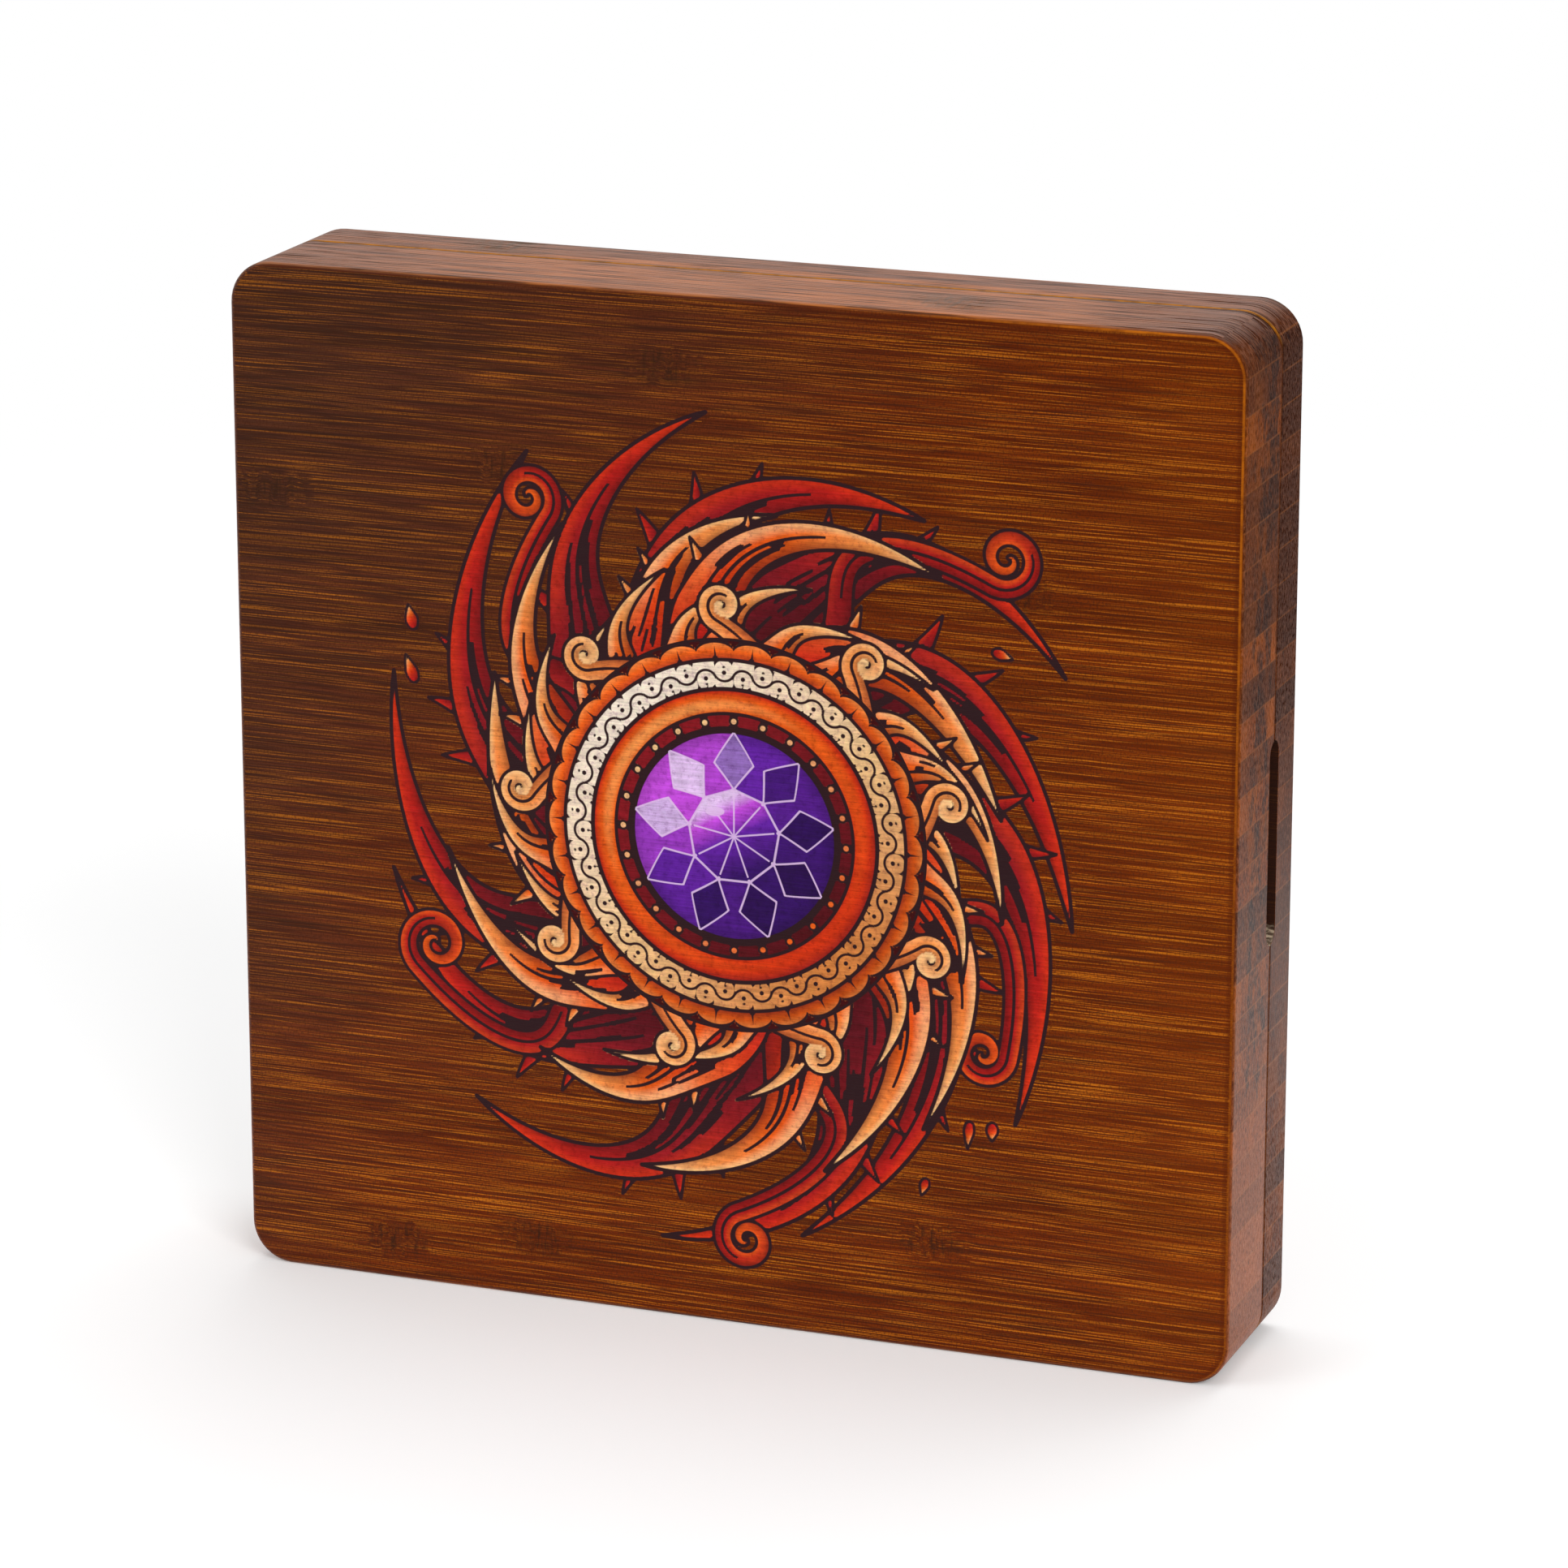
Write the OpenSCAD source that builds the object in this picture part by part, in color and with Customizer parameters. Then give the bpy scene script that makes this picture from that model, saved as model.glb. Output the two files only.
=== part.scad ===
// Folding game box of solid edge-laminated bamboo, standing on its lower edge.
// Two milled halves meet at a seam and swing apart on two butt hinges along the
// left side. The front half stores dice, pencils, cards and tokens. The back half
// is a felt-lined rolling tray. Discs of magnet in the rims hold the box shut, and
// a routed slot across the seam on the right side lets a fingertip part the halves.
// X runs to the right, Y from the front face to the back face, Z up.

/* [Box] */
// Width of the closed box, without the hinge knuckles
box_w = 220; // [182:1:280]
// Height of the standing box
box_h = 220; // [182:1:280]
// Thickness of the front half, outer face to mating face
front_t = 24.6; // [20:0.1:34]
// Thickness of the back half, outer face to mating face
back_t = 15.1; // [12.6:0.1:24]
// Gap between the mating faces of the closed box
seam_gap = 0.3; // [0.2:0.05:0.5]
// Radius of the four outer corners
corner_r = 9; // [6:0.5:14]
// Radius of the rounded edge of each outer face
edge_r = 1.2; // [0.4:0.1:2]
// Radius of the rounded edge of each mating face
seam_r = 0.5; // [0.2:0.1:0.8]

/* [Recesses] */
// Width of the solid rim round both recesses
rim_w = 14; // [13:0.5:20]
// Wood left under the recess of the front half
front_floor = 5.6; // [4:0.1:8]
// Wood left under the recess of the back half
back_floor = 5.2; // [4:0.1:7]
// Corner radius of both recesses
recess_r = 6; // [4:0.5:10]

/* [Finger slot] */
// Width of the slot, shared between the halves
slot_w = 6.4; // [5:0.1:8]
// Length of the slot from end to end
slot_l = 43.4; // [30:0.5:60]
// Depth of the slot into the rim
slot_depth = 6.5; // [4.5:0.5:8]

/* [Storage] */
// Distance from the mating face down to the tops of the rack and dividers
headroom = 2; // [1:0.1:6]
// Width of one die well across its flats
well_af = 23; // [19:0.5:28]
// Wood above and below the points of the wells
rack_edge = 3.7; // [2:0.1:6]
// Wood between neighbouring wells
well_web = 3.2; // [2.5:0.1:5]
// Most wells in the row, one for each die of a set
well_limit = 7; // [4:1:7]
// Free height of the pencil trough under the rack
trough_h = 21; // [16:0.5:26]
// Free height of the card bay
card_bay_h = 68; // [50:0.5:72]
// Thickness of every divider
divider_t = 4; // [3:0.1:6]
// Depth of the grooves that hold the divider ends
dado_depth = 2; // [1:0.1:3]

/* [Felt] */
// Thickness of the felt
felt_t = 1.5; // [0.8:0.1:2.5]

/* [Hinges] */
// Length of each hinge along its pin
hinge_l = 30; // [24:0.5:36]
// Distance from the top or bottom of the box to the middle of a hinge
hinge_inset = 42; // [32:1:60]
// Reach of a leaf over the rim
leaf_w = 10.5; // [9:0.5:11.5]
// Thickness of a leaf
leaf_t = 1.0; // [0.8:0.1:1.4]
// Radius of the knuckles
knuckle_r = 2.0; // [1.8:0.1:2.6]
// Radius of the hinge pins
pin_r = 1.0; // [0.8:0.05:1.2]
// Radius of a screw's shank
screw_r = 1.0; // [0.8:0.05:1.2]
// Radius of a screw's countersunk head
screw_head_r = 2.0; // [1.7:0.1:2.3]
// Length of a screw
screw_l = 8; // [6:0.5:10]

/* [Magnets] */
// Radius of a disc magnet
magnet_r = 4.0; // [3:0.1:4.5]
// Thickness of a disc magnet
magnet_t = 3.0; // [2:0.1:4]
// Distance from the top or bottom of the box to a magnet's axis
magnet_inset = 28; // [20:1:40]

/* [Hidden] */
$fn = 64;

// Overlap of a cutter past the face that it opens
cut = 1;
// Clearance round pieces that are glued in place
glue_gap = 0.1;
// Clearance round the edges of the felt
felt_gap = 0.3;
// Radial clearance of the pins in their knuckles
pin_clear = 0.04;
// Radial clearance of screws in their holes
screw_clear = 0.02;
// Air between neighbouring knuckles along the pin, and under the pin's heads
knuckle_air = 0.3;
// Air between the knuckles and the wood beside them
knuckle_stand = 0.4;
// How far magnets and screw heads lie under the face round them
flush_drop = 0.05;

// Depth of the closed box, and the planes across it
box_d = front_t + seam_gap + back_t;
front_mate_y = -box_d / 2 + front_t;
back_mate_y = front_mate_y + seam_gap;
seam_y = front_mate_y + seam_gap / 2;

// The recesses
recess_w = box_w - 2 * rim_w;
recess_h = box_h - 2 * rim_w;
front_recess = front_t - front_floor;
back_recess = back_t - back_floor;

// The storage layout, measured up and down from the middle of the recess
divider_tall = front_recess - headroom;
well_r = well_af / 2 / cos(30);
rack_h = 2 * (well_r + rack_edge);
rack_bottom = recess_h / 2 - rack_h;
long_top = rack_bottom - trough_h;
long_bottom = long_top - divider_t;
short_top = long_bottom - card_bay_h;
short_bottom = short_top - divider_t;
well_pitch = well_af + well_web;
well_count = min(well_limit, floor((recess_w - well_web) / well_pitch));

// The hinges: knuckle pitch along the pin, and the pin's line
knuckles = 5;
knuckle_pitch = hinge_l / knuckles;
hinge_x = -box_w / 2 - knuckle_stand - knuckle_r;
screw_pitch = hinge_l / 3;
screw_reach = leaf_w * 0.55;
pin_head_r = (pin_r + knuckle_r) / 2;
pin_head_t = 0.6;

// The magnets' line in the right-hand rim
magnet_x = box_w / 2 - rim_w / 2;

// ---------------------------------------------------------------- frames

// Work on the front half: the mating face lies at z = 0 and the outer face above it
module front_frame() translate([0, front_mate_y, box_h / 2]) rotate([90, 0, 0]) children();

// Work on the back half, in the same way; its y runs downwards
module back_frame() translate([0, back_mate_y, box_h / 2]) rotate([-90, 0, 0]) children();

// Both hinge heights, +1 for the upper one
function hinge_v(side) = side * (box_h / 2 - hinge_inset);

// Both magnet heights, +1 for the upper one
function magnet_v(side) = side * (box_h / 2 - magnet_inset);

// ---------------------------------------------------------------- shared shapes

// A flat plate with rounded corners, from z = 0 up
module plate(w, h, t, r) {
    translate([-w / 2 + r, -h / 2, 0]) cube([w - 2 * r, h, t]);
    translate([-w / 2, -h / 2 + r, 0]) cube([w, h - 2 * r, t]);
    for (x = [-1, 1], y = [-1, 1])
        translate([x * (w / 2 - r), y * (h / 2 - r), 0]) cylinder(r = r, h = t);
}

// Half the section of a plate: a wide, t thick, its outer edges rounded to the radii
// low and high
module eased_section(a, t, low, high) {
    square([a - high, t]);
    square([a - low, t - high]);
    translate([0, low]) square([a, t - low - high]);
    translate([a - low, low]) circle(low);
    translate([a - high, t - high]) circle(high);
}

// A straight bar with that section on both sides
module eased_bar(a, t, low, high, length) {
    linear_extrude(length, center = true) {
        eased_section(a, t, low, high);
        mirror([1, 0]) eased_section(a, t, low, high);
    }
}

// A plate with rounded corners whose lower and upper edges are eased
module eased_plate(w, h, t, r, low, high) {
    rotate([90, 0, 90]) eased_bar(h / 2, t, low, high, w - 2 * r);
    rotate([90, 0, 0]) eased_bar(w / 2, t, low, high, h - 2 * r);
    for (x = [-1, 1], y = [-1, 1])
        translate([x * (w / 2 - r), y * (h / 2 - r), 0])
            rotate_extrude() eased_section(r, t, low, high);
}

// ---------------------------------------------------------------- cutters

// The finger slot: a round-ended groove across the seam, open to the right
module finger_slot() {
    reach = slot_depth + cut;
    straight = slot_l - slot_w;
    translate([box_w / 2 - slot_depth, seam_y, box_h / 2]) {
        translate([0, -slot_w / 2, -straight / 2]) cube([reach, slot_w, straight]);
        for (z = [-1, 1])
            translate([0, 0, z * straight / 2]) rotate([0, 90, 0])
                cylinder(d = slot_w, h = reach);
    }
}

// One leaf's mortise and pilot holes, on a half's mating face
module hinge_seat(v) {
    translate([-box_w / 2 - cut, v - hinge_l / 2 - glue_gap, -cut])
        cube([leaf_w + glue_gap + cut, hinge_l + 2 * glue_gap, leaf_t + cut]);
    for (i = [-1:1])
        translate([-box_w / 2 + screw_reach, v + i * screw_pitch, -cut])
            cylinder(r = screw_r + screw_clear, h = screw_l + glue_gap + cut, $fn = 24);
}

// One magnet's blind hole, on a half's mating face
module magnet_seat(v) {
    translate([magnet_x, v, -cut])
        cylinder(r = magnet_r + glue_gap / 2, h = magnet_t + flush_drop + cut);
}

// The grooves that hold the ends of the dividers
module divider_grooves() {
    slack = 2 * glue_gap;
    tall = divider_tall;
    translate([0, 0, headroom]) {
        translate([-recess_w / 2 - dado_depth, long_bottom - glue_gap, 0])
            cube([recess_w + 2 * dado_depth, divider_t + slack, tall]);
        translate([-recess_w / 2 - dado_depth, short_bottom - glue_gap, 0])
            cube([recess_w / 2, divider_t + slack, tall]);
        translate([-divider_t / 2 - glue_gap, -recess_h / 2 - dado_depth, 0])
            cube([divider_t + slack, recess_h / 2, tall]);
    }
}

// ---------------------------------------------------------------- wooden halves

// One half: an eased block with its recess, hinge seats and magnet holes
module half_block(t, depth) {
    difference() {
        eased_plate(box_w, box_h, t, corner_r, seam_r, edge_r);
        translate([0, 0, -cut]) plate(recess_w, recess_h, depth + cut, recess_r);
        for (side = [-1, 1]) {
            hinge_seat(hinge_v(side));
            magnet_seat(magnet_v(side));
        }
    }
}

// The front half, with grooves for its dividers down to the headroom line
module storage_shell() color("#5b2f14") {
    difference() {
        front_frame() difference() {
            half_block(front_t, front_recess);
            divider_grooves();
        }
        finger_slot();
    }
}

// The back half
module tray_shell() color("#5b2f14") {
    difference() {
        back_frame() half_block(back_t, back_recess);
        finger_slot();
    }
}

// ---------------------------------------------------------------- storage fittings

// Places something at every die well, in the rack's row
module at_wells() {
    for (i = [0:well_count - 1])
        translate([(i - (well_count - 1) / 2) * well_pitch, rack_bottom + rack_h / 2, 0])
            rotate(30) children();
}

// The rack: a block with its upper corners rounded to the recess, and six-sided wells
module dice_rack() color("#6a3a1a") front_frame() {
    w = recess_w - 2 * glue_gap;
    h = rack_h - glue_gap;
    r = recess_r;
    difference() {
        translate([0, rack_bottom, headroom]) {
            translate([-w / 2, 0, 0]) cube([w, h - r, divider_tall]);
            translate([-w / 2 + r, 0, 0]) cube([w - 2 * r, h, divider_tall]);
            for (x = [-1, 1])
                translate([x * (w / 2 - r), h - r, 0]) cylinder(r = r, h = divider_tall);
        }
        at_wells() translate([0, 0, headroom - cut])
            cylinder(r = well_r, h = divider_tall + 2 * cut, $fn = 6);
    }
}

// The divider under the pencil trough, notched for the tall divider
module long_divider() color("#6a3a1a") front_frame() {
    w = recess_w + 2 * (dado_depth - glue_gap);
    difference() {
        translate([-w / 2, long_bottom, headroom]) cube([w, divider_t, divider_tall]);
        translate([-divider_t / 2 - glue_gap, long_bottom - cut, headroom - cut])
            cube([divider_t + 2 * glue_gap, dado_depth / 2 + cut, divider_tall + 2 * cut]);
    }
}

// The divider down the middle, notched for the short divider
module tall_divider() color("#6a3a1a") front_frame() {
    top = long_bottom + dado_depth / 2 - glue_gap;
    bottom = -recess_h / 2 - dado_depth + glue_gap;
    difference() {
        translate([-divider_t / 2, bottom, headroom])
            cube([divider_t, top - bottom, divider_tall]);
        translate([-divider_t / 2 - cut, short_bottom - glue_gap, headroom - cut])
            cube([dado_depth / 2 + cut, divider_t + 2 * glue_gap, divider_tall + 2 * cut]);
    }
}

// The divider between the card bay and the token bay
module short_divider() color("#6a3a1a") front_frame() {
    left = -recess_w / 2 - dado_depth + glue_gap;
    right = -divider_t / 2 + dado_depth / 2 - glue_gap;
    translate([left, short_bottom, headroom])
        cube([right - left, divider_t, divider_tall]);
}

// ---------------------------------------------------------------- felt

// Felt that fills a recess out to its rounded corners
module full_felt() {
    plate(recess_w - 2 * felt_gap, recess_h - 2 * felt_gap, felt_t, recess_r - felt_gap);
}

// Felt on the floor of the front recess between two corners
module bay_felt(left, right, bottom, top) {
    translate([0, 0, front_recess - felt_t]) intersection() {
        translate([left + felt_gap, bottom + felt_gap, 0])
            cube([right - left - 2 * felt_gap, top - bottom - 2 * felt_gap, felt_t]);
        full_felt();
    }
}

module dice_well_felts() color("#3a1548") front_frame()
    at_wells() translate([0, 0, front_recess - felt_t])
        cylinder(r = well_r - felt_gap / cos(30), h = felt_t, $fn = 6);

module pencil_trough_felt() color("#3a1548") front_frame()
    bay_felt(-recess_w / 2, recess_w / 2, long_top, rack_bottom);

module card_bay_felt() color("#3a1548") front_frame()
    bay_felt(-recess_w / 2, -divider_t / 2, short_top, long_bottom);

module token_bay_felt() color("#3a1548") front_frame()
    bay_felt(-recess_w / 2, -divider_t / 2, -recess_h / 2, short_bottom);

module large_bay_felt() color("#3a1548") front_frame()
    bay_felt(divider_t / 2, recess_w / 2, -recess_h / 2, long_bottom);

module tray_felt() color("#3a1548") back_frame()
    translate([0, 0, back_recess - felt_t]) full_felt();

// ---------------------------------------------------------------- hinges

// A tube of knuckle number i, counted from the bottom of the hinge
module knuckle(i) {
    translate([0, 0, i * knuckle_pitch + knuckle_air / 2])
        cylinder(r = knuckle_r, h = knuckle_pitch - knuckle_air, $fn = 40);
}

// A leaf in its half's own frame, with its knuckles on the pin's line. first is the
// number of its lowest knuckle: the back leaf has 0, 2 and 4, the front one 1 and 3.
module leaf(v, first) {
    seam_half = seam_gap / 2;
    edge_x = -box_w / 2;
    difference() {
        union() {
            translate([edge_x, v - hinge_l / 2, 0]) cube([leaf_w, hinge_l, leaf_t]);
            for (i = [first:2:knuckles - 1])
                translate([hinge_x, v - hinge_l / 2, 0]) {
                    translate([0, i * knuckle_pitch + knuckle_air / 2, 0])
                        cube([edge_x - hinge_x + cut, knuckle_pitch - knuckle_air, leaf_t]);
                    translate([0, 0, -seam_half]) rotate([-90, 0, 0]) knuckle(i);
                }
        }
        translate([hinge_x, v - hinge_l / 2 - cut, -seam_half]) rotate([-90, 0, 0])
            cylinder(r = pin_r + pin_clear, h = hinge_l + 2 * cut, $fn = 40);
        for (i = [-1:1])
            translate([edge_x + screw_reach, v + i * screw_pitch, 0]) countersink();
    }
}

// The hole for one screw through a leaf
module countersink() {
    cone = screw_head_r - screw_r;
    translate([0, 0, -cut]) cylinder(r = screw_head_r + screw_clear, h = cut + flush_drop, $fn = 32);
    translate([0, 0, flush_drop])
        cylinder(r1 = screw_head_r + screw_clear, r2 = screw_r + screw_clear, h = cone, $fn = 32);
    cylinder(r = screw_r + screw_clear, h = leaf_t + cone + cut, $fn = 32);
}

// The three screws of one leaf
module leaf_screws(v) {
    cone = screw_head_r - screw_r;
    for (i = [-1:1])
        translate([-box_w / 2 + screw_reach, v + i * screw_pitch, flush_drop])
            screw(cone);
}

// A countersunk screw with a cross slot, its head at z = 0
module screw(cone) {
    slot_deep = cone * 0.55;
    slot_long = screw_head_r * 1.3;
    slot_wide = 0.45;
    tip = screw_r * 1.6;
    difference() {
        union() {
            cylinder(r1 = screw_head_r, r2 = screw_r, h = cone, $fn = 32);
            cylinder(r = screw_r, h = screw_l - tip, $fn = 32);
            translate([0, 0, screw_l - tip])
                cylinder(r1 = screw_r, r2 = 0.15, h = tip, $fn = 32);
        }
        for (a = [0, 90])
            rotate(a) translate([-slot_long / 2, -slot_wide / 2, -cut])
                cube([slot_long, slot_wide, slot_deep + cut]);
    }
}

// A headed pin through the knuckles of one hinge
module hinge_pin(side) color("#b08d3e") {
    low = box_h / 2 + hinge_v(side) - hinge_l / 2;
    translate([hinge_x, seam_y, low]) {
        cylinder(r = pin_r, h = hinge_l, $fn = 40);
        translate([0, 0, hinge_l]) cylinder(r = pin_head_r, h = pin_head_t, $fn = 40);
        translate([0, 0, -pin_head_t]) cylinder(r = pin_head_r, h = pin_head_t, $fn = 40);
    }
}

module front_leaf(side) color("#c9a24a") front_frame() leaf(hinge_v(side), 1);
module back_leaf(side) color("#c9a24a") back_frame() leaf(hinge_v(-side), 0);
module front_screws(side) color("#b08d3e") front_frame() leaf_screws(hinge_v(side));
module back_screws(side) color("#b08d3e") back_frame() leaf_screws(hinge_v(-side));

// ---------------------------------------------------------------- magnets

module magnet(v) translate([magnet_x, v, flush_drop]) cylinder(r = magnet_r, h = magnet_t);
module front_magnet(side) color("#c8ccd0") front_frame() magnet(magnet_v(side));
module back_magnet(side) color("#c8ccd0") back_frame() magnet(magnet_v(-side));

// ---------------------------------------------------------------- nodes

storage_shell();
tray_shell();
dice_rack();
long_divider();
tall_divider();
short_divider();
dice_well_felts();
pencil_trough_felt();
card_bay_felt();
token_bay_felt();
large_bay_felt();
tray_felt();
front_leaf(1);  // upper_hinge_front_leaf
back_leaf(1);  // upper_hinge_back_leaf
hinge_pin(1);  // upper_hinge_pin
front_leaf(-1);  // lower_hinge_front_leaf
back_leaf(-1);  // lower_hinge_back_leaf
hinge_pin(-1);  // lower_hinge_pin
front_screws(1);  // upper_front_screws
back_screws(1);  // upper_back_screws
front_screws(-1);  // lower_front_screws
back_screws(-1);  // lower_back_screws
front_magnet(1);  // upper_front_magnet
back_magnet(1);  // upper_back_magnet
front_magnet(-1);  // lower_front_magnet
back_magnet(-1);  // lower_back_magnet
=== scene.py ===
import math

import bmesh
import bpy
import numpy as np
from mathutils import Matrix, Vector


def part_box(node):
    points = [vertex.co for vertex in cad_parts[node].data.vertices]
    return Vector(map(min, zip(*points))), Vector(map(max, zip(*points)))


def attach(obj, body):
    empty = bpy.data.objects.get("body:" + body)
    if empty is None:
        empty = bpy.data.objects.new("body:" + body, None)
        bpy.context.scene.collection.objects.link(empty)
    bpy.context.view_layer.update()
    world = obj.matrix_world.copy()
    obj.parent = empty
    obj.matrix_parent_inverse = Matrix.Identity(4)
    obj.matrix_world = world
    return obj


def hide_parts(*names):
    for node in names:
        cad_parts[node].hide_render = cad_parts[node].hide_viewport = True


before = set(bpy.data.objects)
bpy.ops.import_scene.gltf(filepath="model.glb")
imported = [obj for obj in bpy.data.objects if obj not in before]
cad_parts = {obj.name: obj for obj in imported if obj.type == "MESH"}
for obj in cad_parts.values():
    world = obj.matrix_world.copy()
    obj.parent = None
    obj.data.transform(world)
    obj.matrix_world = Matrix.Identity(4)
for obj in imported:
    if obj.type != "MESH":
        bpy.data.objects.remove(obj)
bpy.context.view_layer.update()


# ---------------- camera
# The camera stands a little to the right of the box and above it, far enough back
# for a long lens, and looks at a point just off the middle of the printed face.

scene = bpy.context.scene


def add_object(name, data):
    """A new object of the scene that holds the data."""
    made = bpy.data.objects.new(name, data)
    scene.collection.objects.link(made)
    return made


def look(made, place, target):
    """Puts a camera or a lamp at the place, turned to look at the target."""
    made.location = place
    made.rotation_mode = "QUATERNION"
    made.rotation_quaternion = (Vector(target) - made.location).to_track_quat("-Z", "Y")


camera_data = bpy.data.cameras.new("camera")
camera_data.sensor_width = 36
camera_data.lens = 146.2
camera_data.clip_start, camera_data.clip_end = 0.05, 20
camera = add_object("camera", camera_data)
look(camera, (0.4556, -1.1939, 0.4796), (0.013, -0.02, 0.1194))
scene.camera = camera


# ---------------- the two milled halves
# Each half is milled from a board of bamboo strips glued edge to edge. The strips run
# across the box and stand on edge, so the faces show fine long fibres, and the left and
# right sides show their sawn ends. Dark stain under satin lacquer, thin at the edges.
# The amber on the rounded edge is partly a painted highlight, and the seam and finger
# slot carry painted highlight and painted shade.

MM = 0.001
half_wide, half_tall = 110.0, 110.0  # these and all sizes below are in millimetres
corner_r = 9.0
front_y, front_mate_y = [corner[1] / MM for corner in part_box("storage_shell")]
back_mate_y, back_y = [corner[1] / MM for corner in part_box("tray_shell")]
seam_y = (front_mate_y + back_mate_y) / 2
front_strip, front_shift = 7.8, 0.9  # a strip's height, and the height of a joint line
back_strip, back_shift = 7.3, 3.6
slot_half_wide, slot_half_long = 3.2, 21.7  # the finger slot


class Signal:
    """The output of a shader node. Arithmetic on it adds the math nodes for it."""

    def __init__(self, wiring, output):
        self.math, self.output = wiring.math, output

    def __add__(self, other): return self.math("ADD", self, other)
    def __radd__(self, other): return self.math("ADD", other, self)
    def __sub__(self, other): return self.math("SUBTRACT", self, other)
    def __rsub__(self, other): return self.math("SUBTRACT", other, self)
    def __mul__(self, other): return self.math("MULTIPLY", self, other)
    def __truediv__(self, other): return self.math("DIVIDE", self, other)
    def __pow__(self, other): return self.math("POWER", self, other)
    def __abs__(self): return self.math("ABSOLUTE", self)


class Wiring:
    """Short calls that add shader nodes to a material or a world and join them up.
    Each value given to them is a number, a tuple or a Signal."""

    def __init__(self, owner):
        owner.use_nodes = True
        self.owner = owner
        self.nodes, self.links = owner.node_tree.nodes, owner.node_tree.links
        self.nodes.clear()

    def put(self, value, target):
        """Joins a Signal to the target socket, or sets the socket's own value."""
        if isinstance(value, Signal):
            self.links.new(value.output, target)
        else:
            target.default_value = value

    def node(self, kind, inputs=(), out=0, **settings):
        """The output of a new node of that kind with those inputs and settings."""
        made = self.nodes.new("ShaderNode" + kind)
        for key, value in settings.items():
            setattr(made, key, value)
        for key, value in dict(inputs).items():
            self.put(value, made.inputs[key])
        return Signal(self, made.outputs[out])

    def math(self, operation, *values):
        return self.node("Math", enumerate(values), operation=operation)

    def high(self, a, b):
        return self.math("MAXIMUM", a, b)

    def step(self, value, start, end, a=0.0, b=1.0):
        """Smoothly a below start and b above end."""
        ends = {"From Min": start, "From Max": end, "To Min": a, "To Max": b}
        return self.node("MapRange", {"Value": value, **ends}, interpolation_type="SMOOTHSTEP")

    def fall(self, value, start, end):
        """Smoothly 1 below start and 0 above end."""
        return self.step(value, start, end, 1.0, 0.0)

    def vector(self, x, y, z):
        return self.node("CombineXYZ", {"X": x, "Y": y, "Z": z})

    def grey(self, value):
        return self.vector(value, value, value)

    def noise(self, x, y, z, detail=2.0, roughness=0.5, distortion=0.0):
        """Soft noise from 0 to 1 with features about a unit wide."""
        values = {"Vector": self.vector(x, y, z), "Scale": 1.0, "Detail": detail,
                  "Roughness": roughness, "Distortion": distortion}
        return self.node("TexNoise", values)

    def random(self, value):
        """A random number from 0 to 1 for each whole number."""
        return self.node("TexWhiteNoise", {"W": value}, noise_dimensions="1D")

    def mix(self, factor, a, b, blend="MIX"):
        """The colour a with the colour b over it, by the factor."""
        a, b = [paint if isinstance(paint, Signal) else (*paint, 1.0) for paint in (a, b)]
        return self.node("Mix", {0: factor, 6: a, 7: b}, 2, data_type="RGBA", blend_type=blend)

    def coats(self, color, *coats):
        """The colour with each (factor, colour) laid over it in turn."""
        for factor, paint in coats:
            color = self.mix(factor, color, paint)
        return color

    def split(self, key):
        """The x, y and z of an output of Texture Coordinate."""
        split = self.nodes.new("ShaderNodeSeparateXYZ")
        self.put(self.node("TexCoord", out=key), split.inputs[0])
        return [Signal(self, output) for output in split.outputs]

    def place(self):
        """The point on the piece in millimetres, as x, y and z."""
        return [part * 1000.0 for part in self.split("Object")]

    def facing(self):
        """How far the surface faces along x, y and z, from 0 to 1 each."""
        return [abs(part) for part in self.split("Normal")]

    def finish(self, shader, kind="Material"):
        """The material or world, now that this shader is its surface."""
        self.put(shader, self.nodes.new("ShaderNodeOutput" + kind).inputs[0])
        return self.owner

    def surface(self, color, roughness, height, depth, settings):
        """The finished material, with bump of that depth in millimetres."""
        bump = self.node("Bump", {"Height": height, "Distance": depth * MM, "Strength": 1.0})
        values = {"Base Color": color, "Roughness": roughness, "Normal": bump, **settings}
        return self.finish(self.node("BsdfPrincipled", values))


def new_material(name):
    return Wiring(bpy.data.materials.new(name))


def knot_window(g, x, z, knots, half_long, half_high):
    """1 at each knot of the list, falling smoothly to 0 at the window's edge."""
    found = 0.0
    for knot_x, knot_z in knots:
        beside = g.fall(abs(x - knot_x), 0.5, half_long)
        above = g.fall(abs(z - knot_z), half_high * 0.2, half_high)
        found = g.high(found, beside * above)
    return found


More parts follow.
